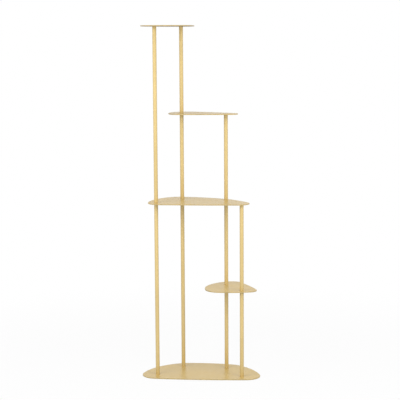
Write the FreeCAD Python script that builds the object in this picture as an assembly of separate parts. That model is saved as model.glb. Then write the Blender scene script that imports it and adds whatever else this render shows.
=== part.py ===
import FreeCAD, Part
import math
import os
from FreeCAD import Vector

# A tall plant stand. Five flat pebble-shaped steel plates stand one above the other on four slim posts.
# Each post is a stack of tubes. A plate that a post passes is clamped between two tube ends by a stud,
# and countersunk screws close the post under the base plate and on the last shelf that it carries.
# Z is up and the floor is z = 0. X runs to the right and Y away from the front. The origin is the
# middle of the stand's plan box.

# Posts
left_front_x = -178.0
left_front_y = -66.0
left_back_x = -74.0
left_back_y = 54.0
right_back_x = 106.0
right_back_y = 26.0
right_front_x = 165.0
right_front_y = -111.0
tube_diameter = 16.0
tube_wall = 1.5
tube_end_break = 0.4  # small chamfer on the outside of each cut end

# Plates, evenly spaced over the height
stand_height = 1423.0
plate_thickness = 4.0
rim_break = 0.6  # the cut edge is broken all round, above and below

# How far each plate reaches past the posts that its outline is drawn round
base_reach = 62.0
lower_reach = 40.0
middle_reach = 52.0
upper_reach = 56.0
top_reach = 55.0

# Threaded end inserts, flush with the tube ends
insert_length = 20.0
insert_clearance = 0.1  # all round, inside the tube

# Joining studs and countersunk socket screws share one thread size
thread_diameter = 6.0
thread_clearance = 0.1
thread_grip = 14.0  # length of thread inside an insert
thread_point = 0.8  # chamfer at a thread's end
stud_hole_clearance = 0.3
screw_head_diameter = 12.0
screw_head_recess = 0.2  # how far the flush heads lie below the plate's face
screw_seat_clearance = 0.1
socket_across_flats = 4.0
socket_depth = 2.2

# Floor pads
pad_diameter = 20.0
pad_height = 3.0
pad_edge_break = 0.8

# One overrun for every cut that leaves the material
overrun = 1.0

post_places = {
    "left_front": Vector(left_front_x, left_front_y, 0),
    "left_back": Vector(left_back_x, left_back_y, 0),
    "right_back": Vector(right_back_x, right_back_y, 0),
    "right_front": Vector(right_front_x, right_front_y, 0),
}

# The plates that each post meets on its way up, and what its tubes are called
post_plates = {
    "left_front": ["base_plate", "middle_shelf", "top_shelf"],
    "left_back": ["base_plate", "middle_shelf", "upper_shelf", "top_shelf"],
    "right_back": ["base_plate", "lower_shelf", "middle_shelf", "upper_shelf"],
    "right_front": ["base_plate", "lower_shelf", "middle_shelf"],
}
tube_names = {
    "left_front": ["lower", "upper"],
    "left_back": ["lower", "middle", "upper"],
    "right_back": ["lower", "middle", "upper"],
    "right_front": ["lower", "upper"],
}

# Rounded corners of each outline, anticlockwise from the front left. A row gives the post that the
# corner belongs to, the corner's centre from that post and its radius as shares of the plate's reach,
# and how flat the side to the next corner is: that arc's radius as a share of the side's whole span.
base_corner_shares = [
    ("left_front", 0.00, 0.04, 1.00, 5.40),
    ("right_front", 0.25, 0.26, 0.96, 1.06),
    ("right_back", 0.20, -0.02, 0.94, 2.20),
    ("left_back", 0.20, -0.24, 1.16, 0.78),
]
lower_corner_shares = [
    ("right_front", -2.15, 1.05, 1.52, 1.50),
    ("right_front", 0.66, 0.48, 0.88, 3.90),
    ("right_back", 0.62, 0.70, 1.00, 0.65),
]
middle_corner_shares = [
    ("left_front", 0.48, 0.20, 1.12, 8.00),
    ("right_front", -0.25, 0.34, 0.87, 1.50),
    ("right_back", -1.73, -1.94, 2.90, 1.30),
    ("left_back", -0.23, -0.08, 1.50, 0.87),
]
upper_corner_shares = [
    ("left_back", 0.02, -0.42, 0.96, 8.70),
    ("right_back", 0.28, -0.54, 0.59, 2.40),
    ("left_back", 0.30, 0.70, 1.10, 0.97),
]
top_corner_shares = [
    ("left_front", 0.08, 0.04, 1.09, 1.80),
    ("left_back", -0.22, -1.89, 0.91, 1.40),
    ("left_back", -0.06, 0.10, 1.04, 0.92),
]
plate_outlines = {
    "base_plate": (base_reach, base_corner_shares),
    "lower_shelf": (lower_reach, lower_corner_shares),
    "middle_shelf": (middle_reach, middle_corner_shares),
    "upper_shelf": (upper_reach, upper_corner_shares),
    "top_shelf": (top_reach, top_corner_shares),
}

# Place of the pad beside each post, from the post's screw, as shares of the base plate's reach
pad_place_shares = {
    "left_front": (-0.44, -0.26),
    "left_back": (-0.46, 0.05),
    "right_back": (0.46, 0.16),
    "right_front": (0.44, -0.26),
}

thread_radius = thread_diameter / 2
tapped_radius = thread_radius + thread_clearance
tube_radius = tube_diameter / 2
bore_radius = tube_radius - tube_wall
head_radius = screw_head_diameter / 2
plates_from_floor = list(plate_outlines)
tier_pitch = (stand_height - pad_height - plate_thickness) / (len(plates_from_floor) - 1)


def plate_bottom(name):
    return pad_height + plates_from_floor.index(name) * tier_pitch


def plate_top(name):
    return plate_bottom(name) + plate_thickness


def turned(profile, place):
    """A round piece: a closed profile of (radius, height) points turned about the vertical at a place."""
    points = [Vector(radius, 0, height) for radius, height in profile]
    face = Part.Face(Part.makePolygon(points + points[:1]))
    piece = face.revolve(Vector(0, 0, 0), Vector(0, 0, 1), 360)
    piece.translate(place)
    return piece


def corner_circle(reach, row):
    """Centre and radius of one rounded corner."""
    post, x_share, y_share, radius_share = row[:-1]
    offset = Vector(x_share * reach, y_share * reach, 0)
    return post_places[post] + offset, radius_share * reach


def side_circle(first, second, side_share):
    """Centre and radius of the wide arc that runs from one rounded corner to the next, tangent to both."""
    first_centre, first_radius = first
    second_centre, second_radius = second
    between = second_centre - first_centre
    span = between.Length
    radius = side_share * (span + first_radius + second_radius)
    to_first = radius - first_radius
    to_second = radius - second_radius
    along = (to_first ** 2 - to_second ** 2 + span ** 2) / (2 * span)
    inward = math.sqrt(to_first ** 2 - along ** 2)
    forward = between / span
    left = Vector(-forward.y, forward.x, 0)
    return first_centre + forward * along + left * inward, radius


def touch_point(corner, side):
    """Where a corner arc and a side arc run into each other."""
    centre, radius = corner
    outward = centre - side[0]
    return centre + outward.normalize() * radius


def arc_edge(circle, start, end):
    centre, radius = circle
    outward = (start - centre) + (end - centre)
    return Part.Arc(start, centre + outward.normalize() * radius, end).toShape()


def pebble_face(reach, corner_shares):
    """A closed outline of rounded corners and gently bulging sides."""
    corners = [corner_circle(reach, row) for row in corner_shares]
    following = corners[1:] + corners[:1]
    sides = [side_circle(a, b, row[-1]) for a, b, row in zip(corners, following, corner_shares)]
    edges = []
    for corner, after, side, before in zip(corners, following, sides, sides[-1:] + sides[:-1]):
        leaving = touch_point(corner, side)
        edges.append(arc_edge(corner, touch_point(corner, before), leaving))
        edges.append(arc_edge(side, leaving, touch_point(after, side)))
    return Part.Face(Part.Wire(edges))


def stud_hole(place, name):
    """Plain hole where a post carries on past the plate."""
    radius = thread_radius + stud_hole_clearance
    low = plate_bottom(name) - overrun
    high = plate_top(name) + overrun
    return turned([(0, low), (radius, low), (radius, high), (0, high)], place)


def countersunk_hole(place, face, into):
    """Screw hole with a 90 degree countersink. A screw enters at height face; into is 1 for up, -1 for down."""
    hole = thread_radius + stud_hole_clearance
    mouth = head_radius + screw_seat_clearance + screw_head_recess
    depths = [
        (0, -overrun),
        (mouth + overrun, -overrun),
        (hole, mouth - hole),
        (hole, plate_thickness + overrun),
        (0, plate_thickness + overrun),
    ]
    return turned([(radius, face + into * depth) for radius, depth in depths], place)


def plate(name):
    """Flat sheet cut to its pebble outline, with broken edges and its post holes."""
    reach, corner_shares = plate_outlines[name]
    blank = pebble_face(reach, corner_shares).extrude(Vector(0, 0, plate_thickness))
    rims = [edge for edge in blank.Edges if edge.BoundBox.ZLength < rim_break]
    sheet = blank.makeChamfer(rim_break, rims)
    sheet.translate(Vector(0, 0, plate_bottom(name)))
    for post, place in post_places.items():
        stops = post_plates[post]
        if name == stops[0]:
            sheet = sheet.cut(countersunk_hole(place, plate_bottom(name), 1))
        elif name == stops[-1]:
            sheet = sheet.cut(countersunk_hole(place, plate_top(name), -1))
        elif name in stops:
            sheet = sheet.cut(stud_hole(place, name))
    return sheet


def tube(place, low, high):
    """Round tube between two plates, with its cut ends broken."""
    shoulder = tube_radius - tube_end_break
    profile = [
        (bore_radius, low),
        (shoulder, low),
        (tube_radius, low + tube_end_break),
        (tube_radius, high - tube_end_break),
        (shoulder, high),
        (bore_radius, high),
    ]
    return turned(profile, place)


def insert(place, low):
    """Tapped plug that is fixed in a tube's end."""
    outer = bore_radius - insert_clearance
    high = low + insert_length
    return turned([(tapped_radius, low), (outer, low), (outer, high), (tapped_radius, high)], place)


def stud(place, name):
    """Threaded rod through a plate, with equal grip in the tube below and the tube above."""
    low = plate_bottom(name) - thread_grip
    high = plate_top(name) + thread_grip
    point = thread_radius - thread_point
    profile = [
        (0, low),
        (point, low),
        (thread_radius, low + thread_point),
        (thread_radius, high - thread_point),
        (point, high),
        (0, high),
    ]
    return turned(profile, place)


def socket_cut(place, face, into):
    """Six-sided key socket sunk into a screw head at height face."""
    corner = socket_across_flats / 2 / math.cos(math.radians(30))
    start = face - into * overrun
    ring = []
    for side in range(6):
        angle = math.radians(60 * side)
        ring.append(place + Vector(corner * math.cos(angle), corner * math.sin(angle), start))
    hexagon = Part.Face(Part.makePolygon(ring + ring[:1]))
    return hexagon.extrude(Vector(0, 0, into * (overrun + socket_depth)))


def countersunk_screw(place, face, into):
    """Flat-headed socket screw that enters a plate at height face and grips the insert behind it."""
    length = plate_thickness + thread_grip
    depths = [
        (0, screw_head_recess),
        (head_radius, screw_head_recess),
        (thread_radius, screw_head_recess + head_radius - thread_radius),
        (thread_radius, length - thread_point),
        (thread_radius - thread_point, length),
        (0, length),
    ]
    body = turned([(radius, face + into * depth) for radius, depth in depths], place)
    return body.cut(socket_cut(place, face + into * screw_head_recess, into))


def floor_pad(post):
    """Low round rubber pad stuck under the base plate beside a post."""
    x_share, y_share = pad_place_shares[post]
    place = post_places[post] + Vector(x_share * base_reach, y_share * base_reach, 0)
    radius = pad_diameter / 2
    foot = radius - pad_edge_break
    rim = [(foot, 0), (radius, pad_edge_break), (radius, pad_height)]
    return turned([(0, 0)] + rim + [(0, pad_height)], place)


pieces = {}

for plate_name in plate_outlines:
    pieces[plate_name] = plate(plate_name)

for post_name, post_place in post_places.items():
    stack = post_plates[post_name]
    for tube_name, under, over in zip(tube_names[post_name], stack, stack[1:]):
        node = f"{post_name}_{tube_name}_tube"
        tube_low = plate_top(under)
        tube_high = plate_bottom(over)
        pieces[node] = tube(post_place, tube_low, tube_high)
        pieces[f"{node}_bottom_insert"] = insert(post_place, tube_low)
        pieces[f"{node}_top_insert"] = insert(post_place, tube_high - insert_length)
    for passed in stack[1:-1]:
        pieces[f"{post_name}_{passed}_stud"] = stud(post_place, passed)
    pieces[f"{post_name}_base_screw"] = countersunk_screw(post_place, plate_bottom(stack[0]), 1)
    pieces[f"{post_name}_top_screw"] = countersunk_screw(post_place, plate_top(stack[-1]), -1)
    pieces[f"{post_name}_floor_pad"] = floor_pad(post_name)

os.makedirs("parts", exist_ok=True)
for node, piece in pieces.items():
    piece.exportStep(f"parts/{node}.step")
print(len(pieces), "pieces")
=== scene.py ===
import math

import bmesh
import bpy
from mathutils import Matrix, Vector


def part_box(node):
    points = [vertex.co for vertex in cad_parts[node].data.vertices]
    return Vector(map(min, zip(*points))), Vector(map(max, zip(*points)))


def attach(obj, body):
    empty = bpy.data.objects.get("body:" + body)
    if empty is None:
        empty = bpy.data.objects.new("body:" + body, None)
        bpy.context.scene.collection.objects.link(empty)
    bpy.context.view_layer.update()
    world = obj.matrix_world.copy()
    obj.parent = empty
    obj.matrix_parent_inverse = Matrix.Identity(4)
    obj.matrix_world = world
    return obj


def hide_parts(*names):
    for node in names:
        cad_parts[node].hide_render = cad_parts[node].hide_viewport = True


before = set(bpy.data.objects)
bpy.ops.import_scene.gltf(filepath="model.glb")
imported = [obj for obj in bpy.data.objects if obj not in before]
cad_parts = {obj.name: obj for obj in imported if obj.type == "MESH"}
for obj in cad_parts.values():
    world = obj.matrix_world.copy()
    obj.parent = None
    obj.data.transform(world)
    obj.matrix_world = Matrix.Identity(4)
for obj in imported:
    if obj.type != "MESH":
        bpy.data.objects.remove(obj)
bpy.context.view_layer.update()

# Floor pads. Four low discs of black rubber, moulded with a rounded foot and a ring groove in the
# sole, and stuck under the base plate beside the posts so that the steel never touches the floor.
mm = 0.001
hairline = 0.01 * mm
round_steps = 64
crisp_angle = 40
posts = ["left_front", "left_back", "right_back", "right_front"]


class Finish:
    """One socket of a finish's node tree. Arithmetic on sockets adds Math nodes."""

    def __init__(self, tree, socket=None):
        self.tree = tree
        self.socket = socket

    def node(self, kind, settings, sockets, output=0):
        made = self.tree.nodes.new(kind)
        for name, value in settings.items():
            setattr(made, name, value)
        for name, value in sockets.items():
            if isinstance(value, Finish):
                self.tree.links.new(value.socket, made.inputs[name])
            else:
                made.inputs[name].default_value = value
        return Finish(self.tree, made.outputs[output] if len(made.outputs) else None)

    def math(self, operation, first, second):
        return self.node("ShaderNodeMath", {"operation": operation}, {0: first, 1: second})

    def __add__(self, other):
        return self.math("ADD", self, other)

    def __sub__(self, other):
        return self.math("SUBTRACT", self, other)

    def __mul__(self, other):
        return self.math("MULTIPLY", self, other)

    def __rsub__(self, other):
        return self.math("SUBTRACT", other, self)

    __radd__ = __add__
    __rmul__ = __mul__

    def between(self, low, high):
        """This value as a mask that rises from 0 at low to 1 at high."""
        sockets = {"Value": self, "From Min": low, "From Max": high}
        return self.node("ShaderNodeMapRange", {"interpolation_type": "SMOOTHSTEP"}, sockets)

    def tint(self, bare, covered):
        """One colour turned into another by this mask."""
        return self.node("ShaderNodeMix", {"data_type": "RGBA"}, {0: self, 6: bare, 7: covered}, 2)

    def grain(self, place, scale, detail):
        """Soft noise with so many grains to the metre."""
        return self.node("ShaderNodeTexNoise", {}, {"Vector": place, "Scale": scale, "Detail": detail})

    def surface(self, sockets, height, depth, strength):
        """Closes the tree with a shader whose surface has a fine relief of that depth."""
        relief = {"Height": height, "Distance": depth, "Strength": strength}
        normal = self.node("ShaderNodeBump", {}, relief)
        shader = self.node("ShaderNodeBsdfPrincipled", {}, {**sockets, "Normal": normal})
        self.node("ShaderNodeOutputMaterial", {}, {"Surface": shader})


def new_finish(name):
    """A material, its empty node tree, and the place on the stand that its patterns follow."""
    material = bpy.data.materials.new(name)
    material.use_nodes = True
    material.node_tree.nodes.clear()
    finish = Finish(material.node_tree)
    return material, finish, finish.node("ShaderNodeTexCoord", {}, {}, "Object")


def centre_of(node):
    low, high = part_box(node)
    return (low + high) / 2


def at_height(spot, height):
    """The point above or below a spot at that height."""
    return Vector((spot.x, spot.y, height))


def fit_piece(node, bm, material):
    """Closes a mesh, and puts it in its node's place on the stand."""
    bmesh.ops.recalc_face_normals(bm, faces=bm.faces[:])
    mesh = bpy.data.meshes.new(node + "_look")
    bm.to_mesh(mesh)
    bm.free()
    mesh.materials.append(material)
    piece = bpy.data.objects.new(node + "_look", mesh)
    bpy.context.scene.collection.objects.link(piece)
    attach(piece, "root")
    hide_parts(node)


def turned_piece(section, centre):
    """A piece turned about the vertical through centre, from (radius, height) points of its section."""
    bm = bmesh.new()
    points = [bm.verts.new((centre.x + radius, centre.y, height)) for radius, height in section]
    lines = [bm.edges.new(pair) for pair in zip(points, points[1:])]
    bmesh.ops.spin(bm, geom=points + lines, cent=at_height(centre, 0), axis=Vector((0, 0, 1)),
                   dvec=Vector(), angle=2 * math.pi, steps=round_steps, use_merge=True)
    bmesh.ops.remove_doubles(bm, verts=bm.verts[:], dist=hairline)
    for face in bm.faces:
        face.smooth = True
    return bm


def round_over(bm, edges, radius, steps):
    bmesh.ops.bevel(bm, geom=edges, affect="EDGES", offset=radius, offset_type="OFFSET",
                    segments=steps, profile=0.5, material=-1, clamp_overlap=True)


def sharpen(bm, degrees):
    """Keeps a crisp line in the shading where faces meet at more than that angle."""
    for edge in bm.edges:
        if edge.is_manifold:
            edge.smooth = edge.calc_face_angle() < math.radians(degrees)


clean_rubber = (0.022, 0.022, 0.023, 1)
dusty_rubber = (0.055, 0.052, 0.048, 1)
rubber, finish, place = new_finish("black_rubber_pad")
mould = finish.grain(place, scale=900, detail=3.0)
dust = finish.grain(place, scale=70, detail=4.0).between(0.45, 0.75)
rubber_colour = dust.tint(clean_rubber, dusty_rubber)
finish.surface({"Base Color": rubber_colour, "Roughness": 0.68 + 0.2 * dust},
               mould, depth=0.1 * mm, strength=0.3)

foot_round = 0.8 * mm
foot_round_steps = 4
groove_radius = 5.5 * mm
groove_width = 1.2 * mm
groove_depth = 0.6 * mm
for post in posts:
    node = post + "_floor_pad"
    low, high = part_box(node)
    centre = centre_of(node)
    radius = (high.x - low.x) / 2
    section = [
        (0, low.z),
        (groove_radius - groove_width, low.z),
        (groove_radius, low.z + groove_depth),
        (groove_radius + groove_width, low.z),
        (radius, low.z),
        (radius, high.z),
        (0, high.z),
    ]
    pad = turned_piece(section, centre)
    foot_rim = [edge for edge in pad.edges
                if all(vert.co.z < low.z + hairline and (vert.co - centre).xy.length > radius - hairline
                       for vert in edge.verts)]
    round_over(pad, foot_rim, foot_round, foot_round_steps)
    sharpen(pad, crisp_angle)
    fit_piece(node, pad, rubber)

# Plates. Five flat pebble shapes cut from 4 mm steel sheet, one of them the base, with softened rims.
# Their satin pale gold coat is painted about a tenth lighter than the posts' coat, as painted light. It
# is darker along the rims, as rubbed wear and painted shade, and darker underneath as painted shade,
# where it is also rougher and less metallic. Post holes are plain where a stud passes and countersunk
# where a screw ends the post.
flake_gold = (0.820, 0.690, 0.420, 1)
# Rims and sides: rubbed wear, with painted shade on them as well.
worn_and_shaded_gold = (0.220, 0.182, 0.108, 1)
# Painted shade on the plates' undersides.
underside_shade_gold = (0.150, 0.118, 0.062, 1)


def gold_coating(name, seed, edge_wear_and_shade, deep, pale):
    """Satin gold with an orange-peel skin, metal flake, rims darkened by rubbed wear and painted shade,
    and a rougher underside in painted shade.
    """
    material, finish, place = new_finish(name)
    shifted = finish.node("ShaderNodeMapping", {}, {"Vector": place, "Location": (seed, -seed, seed)})
    cloud = finish.grain(shifted, scale=6, detail=3.0).between(0.3, 0.7)
    rubbed = finish.grain(shifted, scale=38, detail=4.0).between(0.42, 0.72)
    peel = finish.grain(place, scale=520, detail=1.0)
    flake = finish.node("ShaderNodeTexVoronoi", {}, {"Vector": place, "Scale": 2200.0}, "Distance")
    glint = flake.between(0.30, 0.05) * 0.22
    edge = finish.node("ShaderNodeAttribute", {"attribute_name": "edge"}, {}, "Fac")
    # Rims and sides darkened, partly as rubbed wear and partly as painted shade.
    wear_and_shade = edge * (0.62 + 0.28 * rubbed) * edge_wear_and_shade
    under = finish.node("ShaderNodeAttribute", {"attribute_name": "under"}, {}, "Fac")
    # Undersides darkened as painted shade, and also made rougher and less metallic.
    underside_shade = under * (0.88 + 0.06 * rubbed)
    colour = cloud.tint(deep, pale)
    colour = glint.tint(colour, flake_gold)
    colour = wear_and_shade.tint(colour, worn_and_shaded_gold)
    colour = underside_shade.tint(colour, underside_shade_gold)
    roughness = 0.32 + 0.06 * cloud - 0.05 * rubbed + 0.10 * wear_and_shade + 0.45 * underside_shade
    metallic = (0.08 + 0.08 * glint) * (1 - underside_shade)
    sockets = {"Base Color": colour, "Roughness": roughness, "Metallic": metallic}
    finish.surface(sockets, peel + 0.1 * flake, depth=0.15 * mm, strength=0.45)
    return material


# The plates' gold: the tubes' coat painted about a tenth lighter, as painted light on the plates.
lit_deep_gold = (0.690, 0.500, 0.182, 1)
lit_pale_gold = (0.738, 0.540, 0.209, 1)
plate_gold = gold_coating("satin_gold_plate", seed=0.0, edge_wear_and_shade=0.7, deep=lit_deep_gold, pale=lit_pale_gold)
rim_round = 0.8 * mm
rim_steps = 4
rim_angle = 80
outline_step = 4 * mm
fewest_arc_steps = 3
join_gap = 0.05 * mm
same_plane_angle = 1
stud_hole_radius = 3.3 * mm
sink_depth = 3.0 * mm
level_normal = 0.99
post_centres = {post: centre_of(post + "_lower_tube") for post in posts}

# Rounded corners of each outline, anticlockwise from the front left: the post that a corner belongs
# to, its centre from that post and its radius as shares of the plate's reach, and how flat the side
# to the next corner is, as a share of that side's whole span.
plate_shapes = {
    "base_plate": (62 * mm, [
        ("left_front", 0.00, 0.04, 1.00, 5.40),
        ("right_front", 0.25, 0.26, 0.96, 1.06),
        ("right_back", 0.20, -0.02, 0.94, 2.20),
        ("left_back", 0.20, -0.24, 1.16, 0.78),
    ]),
    "lower_shelf": (40 * mm, [
        ("right_front", -2.15, 1.05, 1.52, 1.50),
        ("right_front", 0.66, 0.48, 0.88, 3.90),
        ("right_back", 0.62, 0.70, 1.00, 0.65),
    ]),
    "middle_shelf": (52 * mm, [
        ("left_front", 0.48, 0.20, 1.12, 8.00),
        ("right_front", -0.25, 0.34, 0.87, 1.50),
        ("right_back", -1.73, -1.94, 2.90, 1.30),
        ("left_back", -0.23, -0.08, 1.50, 0.87),
    ]),
    "upper_shelf": (56 * mm, [
        ("left_back", 0.02, -0.42, 0.96, 8.70),
        ("right_back", 0.28, -0.54, 0.59, 2.40),
        ("left_back", 0.30, 0.70, 1.10, 0.97),
    ]),
    "top_shelf": (55 * mm, [
        ("left_front", 0.08, 0.04, 1.09, 1.80),
        ("left_back", -0.22, -1.89, 0.91, 1.40),
        ("left_back", -0.06, 0.10, 1.04, 0.92),
    ]),
}
# Where each plate is held: by screws from below, by studs, or by screws from above.
screwed_from_below = {"base_plate": posts}
studded = {
    "lower_shelf": ["right_back", "right_front"],
    "middle_shelf": ["left_front", "left_back", "right_back"],
    "upper_shelf": ["left_back"],
}
screwed_from_above = {
    "middle_shelf": ["right_front"],
    "upper_shelf": ["right_back"],
    "top_shelf": ["left_front", "left_back"],
}


def side_circle(first, second, flatness):
    """Centre and radius of the wide arc from one rounded corner to the next, tangent to both."""
    between = second[0] - first[0]
    span = between.length
    radius = flatness * (span + first[1] + second[1])
    to_first = radius - first[1]
    to_second = radius - second[1]
    along = (to_first ** 2 - to_second ** 2 + span ** 2) / (2 * span)
    inward = math.sqrt(to_first ** 2 - along ** 2)
    forward = between.normalized()
    return first[0] + forward * along + Vector((-forward.y, forward.x, 0)) * inward, radius


def turn_between(first, second):
    """The anticlockwise angle from one direction to another, seen from above."""
    return (math.atan2(second.y, second.x) - math.atan2(first.y, first.x)) % (2 * math.pi)


def pebble_outline(bm, reach, rows, height):
    """Draws a plate's closed outline by turning one point about each arc's centre after the other."""
    corners = []
    flatnesses = []
    for post, x_share, y_share, radius_share, flatness in rows:
        centre = post_centres[post] + reach * Vector((x_share, y_share, 0))
        corners.append((at_height(centre, height), radius_share * reach))
        flatnesses.append(flatness)
    next_corners = corners[1:] + corners[:1]
    sides = [side_circle(first, second, flatness)
             for first, second, flatness in zip(corners, next_corners, flatnesses)]
    sides_before = sides[-1:] + sides[:-1]
    starts = [(corner[0] - side[0]).normalized() for corner, side in zip(corners, sides_before)]
    ends = [(corner[0] - side[0]).normalized() for corner, side in zip(corners, sides)]
    next_starts = starts[1:] + starts[:1]
    arcs = []
    for corner, side, start, end, next_start in zip(corners, sides, starts, ends, next_starts):
        arcs.append((corner, turn_between(start, end)))
        arcs.append((side, turn_between(end, next_start)))
    pen = bm.verts.new(corners[0][0] + starts[0] * corners[0][1])
    for (centre, radius), turn in arcs:
        steps = max(fewest_arc_steps, round(turn * radius / outline_step))
        drawn = bmesh.ops.spin(bm, geom=[pen], cent=centre, axis=Vector((0, 0, 1)), dvec=Vector(),
                               angle=turn, steps=steps, use_merge=False)
        pen = [part for part in drawn["geom_last"] if isinstance(part, bmesh.types.BMVert)][0]
    bmesh.ops.remove_doubles(bm, verts=bm.verts[:], dist=join_gap)


def is_level(edge):
    return abs(edge.verts[0].co.z - edge.verts[1].co.z) < hairline


def plate_mesh(node, reach, rows):
    """A pebble plate with its post holes, softened rims and countersinks."""
    low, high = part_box(node)
    bm = bmesh.new()
    pebble_outline(bm, reach, rows, low.z)
    sunk_below = screwed_from_below.get(node, [])
    sunk_above = screwed_from_above.get(node, [])
    for post in sunk_below + sunk_above + studded.get(node, []):
        spot = at_height(post_centres[post], low.z)
        bmesh.ops.create_circle(bm, segments=round_steps, radius=stud_hole_radius,
                                matrix=Matrix.Translation(spot))
    bmesh.ops.triangle_fill(bm, use_beauty=True, use_dissolve=False, edges=bm.edges[:],
                            normal=(0, 0, 1))
    inner = [edge for edge in bm.edges if not edge.is_boundary]
    bmesh.ops.dissolve_limit(bm, angle_limit=math.radians(same_plane_angle),
                             use_dissolve_boundaries=False, verts=[], edges=inner)
    raised = bmesh.ops.extrude_face_region(bm, geom=bm.faces[:])
    lifted = [part for part in raised["geom"] if isinstance(part, bmesh.types.BMVert)]
    bmesh.ops.translate(bm, verts=lifted, vec=Vector((0, 0, high.z - low.z)))
    bmesh.ops.recalc_face_normals(bm, faces=bm.faces[:])

    def hole_mouth(post, height):
        """The edges round one post hole in one face of the plate."""
        spot = at_height(post_centres[post], height)
        return [edge for edge in bm.edges
                if all(abs((vert.co - spot).length - stud_hole_radius) < hairline
                       for vert in edge.verts)]

    outer_rims = [edge for edge in bm.edges
                  if edge.is_manifold and is_level(edge)
                  and edge.calc_face_angle() > math.radians(rim_angle)
                  and all((edge.verts[0].co - centre).xy.length > 2 * stud_hole_radius
                          for centre in post_centres.values())]
    round_over(bm, outer_rims, rim_round, rim_steps)
    for post in sunk_below:
        round_over(bm, hole_mouth(post, low.z), sink_depth, steps=1)
    for post in sunk_above:
        round_over(bm, hole_mouth(post, high.z), sink_depth, steps=1)
    edge_mark = bm.faces.layers.float.new("edge")
    under_mark = bm.faces.layers.float.new("under")
    bm.normal_update()
    for face in bm.faces:
        is_flat = abs(face.normal.z) > level_normal
        face[edge_mark] = 0.0 if is_flat else 1.0
        face[under_mark] = 1.0 if face.normal.z < -level_normal else 0.0
        face.smooth = not is_flat
    sharpen(bm, crisp_angle)
    return bm


for node, (reach, rows) in plate_shapes.items():
    fit_piece(node, plate_mesh(node, reach, rows), plate_gold)

# Posts. Ten lengths of 16 mm steel tube with a 1.5 mm wall, sawn square, their ends broken and coated
# like the plates. Each stands between two plates, and the stud or screw in its ends pulls it tight.
deep_tube_gold = (0.615, 0.460, 0.190, 1)
pale_tube_gold = (0.660, 0.498, 0.215, 1)
tube_gold = gold_coating("satin_gold_tube", seed=3.7, edge_wear_and_shade=0.5,
                         deep=deep_tube_gold, pale=pale_tube_gold)
tube_wall = 1.5 * mm
end_break = 0.4 * mm
end_break_steps = 3
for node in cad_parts:
    if node.endswith("_tube"):
        low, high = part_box(node)
        centre = centre_of(node)
        radius = (high.x - low.x) / 2
        bore = radius - tube_wall
        section = [(bore, low.z), (radius, low.z), (radius, high.z), (bore, high.z), (bore, low.z)]
        tube = turned_piece(section, centre)
        ends = [edge for edge in tube.edges
                if is_level(edge) and all((vert.co - centre).xy.length > bore + 0.5 * tube_wall
                                          for vert in edge.verts)]
        round_over(tube, ends, end_break, end_break_steps)
        edge_mark = tube.faces.layers.float.new("edge")
        for face in tube.faces:
            height = face.calc_center_median().z
            face[edge_mark] = 1.0 if min(height - low.z, high.z - height) < 2 * end_break else 0.0
        sharpen(tube, crisp_angle)
        fit_piece(node, tube, tube_gold)

# Inserts and studs. Turned steel plugs pressed into the tube ends, and lengths of threaded rod that
# join one tube to the next through a shelf. All are hidden once the stand is bolted together.
bright_steel = (0.46, 0.46, 0.45, 1)
stained_steel = (0.36, 0.35, 0.33, 1)
steel, finish, place = new_finish("turned_steel")
rings = finish.node("ShaderNodeTexWave", {"bands_direction": "Z"}, {"Vector": place, "Scale": 320.0})
stain = finish.grain(place, scale=160, detail=4.0).between(0.4, 0.7)
steel_colour = stain.tint(bright_steel, stained_steel)
finish.surface({"Base Color": steel_colour, "Roughness": 0.30 + 0.15 * stain, "Metallic": 1.0},
               rings, depth=0.2 * mm, strength=0.5)
for node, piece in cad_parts.items():
    if node.endswith(("_insert", "_stud")):
        piece.data.materials.clear()
        piece.data.materials.append(steel)

# Screws. Countersunk 6 mm screws with six-sided sockets: zinc plated ones up through the base plate,
# and gold coated ones down through the last shelf of each post. Their heads lie just below flush.
# The gold screws take the plates' lighter copy of the coat, which is painted light.
screw_gold = gold_coating("satin_gold_screw", seed=8.1, edge_wear_and_shade=0.9, deep=lit_deep_gold, pale=lit_pale_gold)
bright_zinc = (0.62, 0.63, 0.64, 1)
dull_zinc = (0.50, 0.51, 0.50, 1)
zinc, finish, place = new_finish("zinc_plated_screw")
bloom = finish.grain(place, scale=420, detail=4.0).between(0.4, 0.7)
zinc_colour = bloom.tint(bright_zinc, dull_zinc)
finish.surface({"Base Color": zinc_colour, "Roughness": 0.28 + 0.14 * bloom, "Metallic": 1.0},
               bloom, depth=0.03 * mm, strength=0.3)
head_radius = 6.0 * mm
head_round = 0.25 * mm
head_round_steps = 3
shank_radius = 3.0 * mm
thread_point = 0.8 * mm
socket_sides = 6
socket_flats = 4.0 * mm
socket_depth = 2.2 * mm
drill_point = 0.8 * mm
drill_tip_radius = 0.2 * mm
sloped_normal = 0.95
screw_crisp_angle = 30


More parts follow.
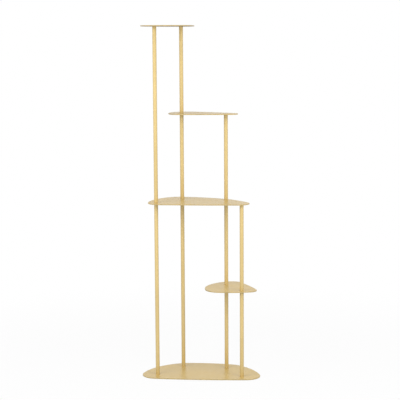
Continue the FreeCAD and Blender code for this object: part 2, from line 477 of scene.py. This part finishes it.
def screw_mesh(face, tip):
    """A screw from the middle of its head's face to the middle of its tip."""
    into = 1 if tip.z > face.z else -1
    length = abs(tip.z - face.z)
    bm = bmesh.new()

    def loop_out(edges, radius, depth):
        """Carries a ring of edges on to a new radius and depth."""
        drawn = bmesh.ops.extrude_edge_only(bm, edges=edges)["geom"]
        ring = [part for part in drawn if isinstance(part, bmesh.types.BMVert)]
        old = (ring[0].co - face).xy.length
        here = ring[0].co.z
        bmesh.ops.scale(bm, verts=ring, vec=(radius / old, radius / old, 1),
                        space=Matrix.Translation(-face))
        bmesh.ops.translate(bm, verts=ring, vec=(0, 0, face.z + into * depth - here))
        return [part for part in drawn if isinstance(part, bmesh.types.BMEdge)]

    seat = Matrix.Translation(face)
    rim = bmesh.ops.create_circle(bm, segments=round_steps, radius=head_radius, matrix=seat)["verts"]
    corner = socket_flats / 2 / math.cos(math.pi / socket_sides)
    key = bmesh.ops.create_circle(bm, segments=socket_sides, radius=corner, matrix=seat)["verts"]
    rim_edges = list({edge for vert in rim for edge in vert.link_edges})
    key_edges = list({edge for vert in key for edge in vert.link_edges})
    bmesh.ops.triangle_fill(bm, use_beauty=True, edges=rim_edges + key_edges, normal=(0, 0, -into))
    floor_edges = loop_out(key_edges, corner, socket_depth)
    drill_tip = loop_out(floor_edges, drill_tip_radius, socket_depth + drill_point)
    bmesh.ops.edgeloop_fill(bm, edges=drill_tip)
    neck = loop_out(rim_edges, shank_radius, head_radius - shank_radius)
    shoulder = loop_out(neck, shank_radius, length - thread_point)
    end = loop_out(shoulder, shank_radius - thread_point, length)
    bmesh.ops.edgeloop_fill(bm, edges=end)
    bmesh.ops.recalc_face_normals(bm, faces=bm.faces[:])
    round_over(bm, rim_edges, head_round, head_round_steps)
    edge_mark = bm.faces.layers.float.new("edge")
    for part in bm.faces:
        part[edge_mark] = 1.0 if abs(part.normal.z) < sloped_normal else 0.0
        part.smooth = True
    sharpen(bm, screw_crisp_angle)
    return bm


screw_kinds = (("_base_screw", zinc, "zinc_screw"), ("_top_screw", screw_gold, "gold_screw"))
for post in posts:
    for suffix, material, slot in screw_kinds:
        node = post + suffix
        low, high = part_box(node)
        centre = centre_of(node)
        ends = [at_height(centre, low.z), at_height(centre, high.z)]
        if suffix == "_top_screw":
            ends.reverse()
        fit_piece(node, screw_mesh(*ends), material)

# Studio. A pale matt floor that shows the stand's shadow, with the white backdrop seen through it, two
# soft lamps in front to the left and right, near the height of the top shelf, a low one far in front
# that lights the posts under the shelves, and the camera at chest height about five metres away.
white = (1, 1, 1, 1)
dull_floor = (0.84, 0.84, 0.84, 1)
bright_floor = (0.86, 0.86, 0.86, 1)
floor_in_view = (0.95, 0.95, 0.95, 1)
floor_radius = 14.0
floor_steps = 96
clear_share = 0.935
shadow_radius = 0.5
all_clear_radius = 2.0
sky_strength = 0.47


def seen_rays(finish):
    """1 for what the camera sees, straight or in a reflection or through glass, and 0 for light."""
    camera_ray = finish.node("ShaderNodeLightPath", {}, {}, "Is Camera Ray")
    glossy_ray = finish.node("ShaderNodeLightPath", {}, {}, "Is Glossy Ray")
    through_ray = finish.node("ShaderNodeLightPath", {}, {}, "Is Transmission Ray")
    return finish.math("MAXIMUM", finish.math("MAXIMUM", camera_ray, glossy_ray), through_ray)


floor, finish, place = new_finish("studio_floor")
seen = seen_rays(finish)
away = finish.node("ShaderNodeVectorMath", {"operation": "LENGTH"}, {0: place}, "Value")
tone = finish.grain(place, scale=3, detail=2.0)
floor_colour = seen.tint(tone.tint(dull_floor, bright_floor), floor_in_view)
plain = finish.node("ShaderNodeBsdfDiffuse", {}, {"Color": floor_colour})
clear = finish.node("ShaderNodeBsdfTransparent", {}, {"Color": white})
far = away.between(shadow_radius, all_clear_radius)
share = seen * (clear_share + (1 - clear_share) * far)
mixed = finish.node("ShaderNodeMixShader", {}, {0: share, 1: plain, 2: clear})
finish.node("ShaderNodeOutputMaterial", {}, {"Surface": mixed})
bm = bmesh.new()
bmesh.ops.create_circle(bm, cap_ends=True, segments=floor_steps, radius=floor_radius)
floor_mesh = bpy.data.meshes.new("studio_floor")
bm.to_mesh(floor_mesh)
bm.free()
floor_mesh.materials.append(floor)
studio_floor = bpy.data.objects.new("studio_floor", floor_mesh)
bpy.context.scene.collection.objects.link(studio_floor)

world = bpy.data.worlds.new("studio_air")
world.use_nodes = True
world.node_tree.nodes.clear()
air = Finish(world.node_tree)
soft = air.node("ShaderNodeBackground", {}, {"Color": white, "Strength": sky_strength})
backdrop = air.node("ShaderNodeBackground", {}, {"Color": white, "Strength": 1.0})
sky = air.node("ShaderNodeMixShader", {}, {0: seen_rays(air), 1: soft, 2: backdrop})
air.node("ShaderNodeOutputWorld", {}, {"Surface": sky})
bpy.context.scene.world = world

lamp_aim = Vector((0, 0, 0.7))
lamps = (
    ("left_lamp", Vector((-1.0, -1.0, 1.35)), 0.9, 10.4),
    ("right_lamp", Vector((1.0, -1.0, 1.35)), 0.9, 10.4),
    ("front_lamp", Vector((0, -5.4, 0.5)), 2.0, 113.0),
)
for name, spot, size, power in lamps:
    lamp = bpy.data.lights.new(name, "AREA")
    lamp.size = size
    lamp.energy = power
    holder = bpy.data.objects.new(name, lamp)
    holder.location = spot
    holder.visible_glossy = False
    holder.visible_camera = False
    holder.rotation_euler = (lamp_aim - spot).to_track_quat("-Z", "Y").to_euler()
    bpy.context.scene.collection.objects.link(holder)

camera_spot = Vector((-0.001, -5.0585, 1.362))
camera_dip = 7.269
camera_roll = -0.347
lens = bpy.data.cameras.new("studio_camera")
lens.lens = 112.5
lens.sensor_width = 36.0
lens.clip_end = 100.0
camera = bpy.data.objects.new("studio_camera", lens)
pitch = Matrix.Rotation(math.radians(90 - camera_dip), 4, "X")
roll = Matrix.Rotation(math.radians(camera_roll), 4, "Z")
camera.matrix_world = Matrix.Translation(camera_spot) @ pitch @ roll
bpy.context.scene.collection.objects.link(camera)
bpy.context.scene.camera = camera
bpy.context.scene.view_settings.view_transform = "Standard"

bpy.context.view_layer.update()
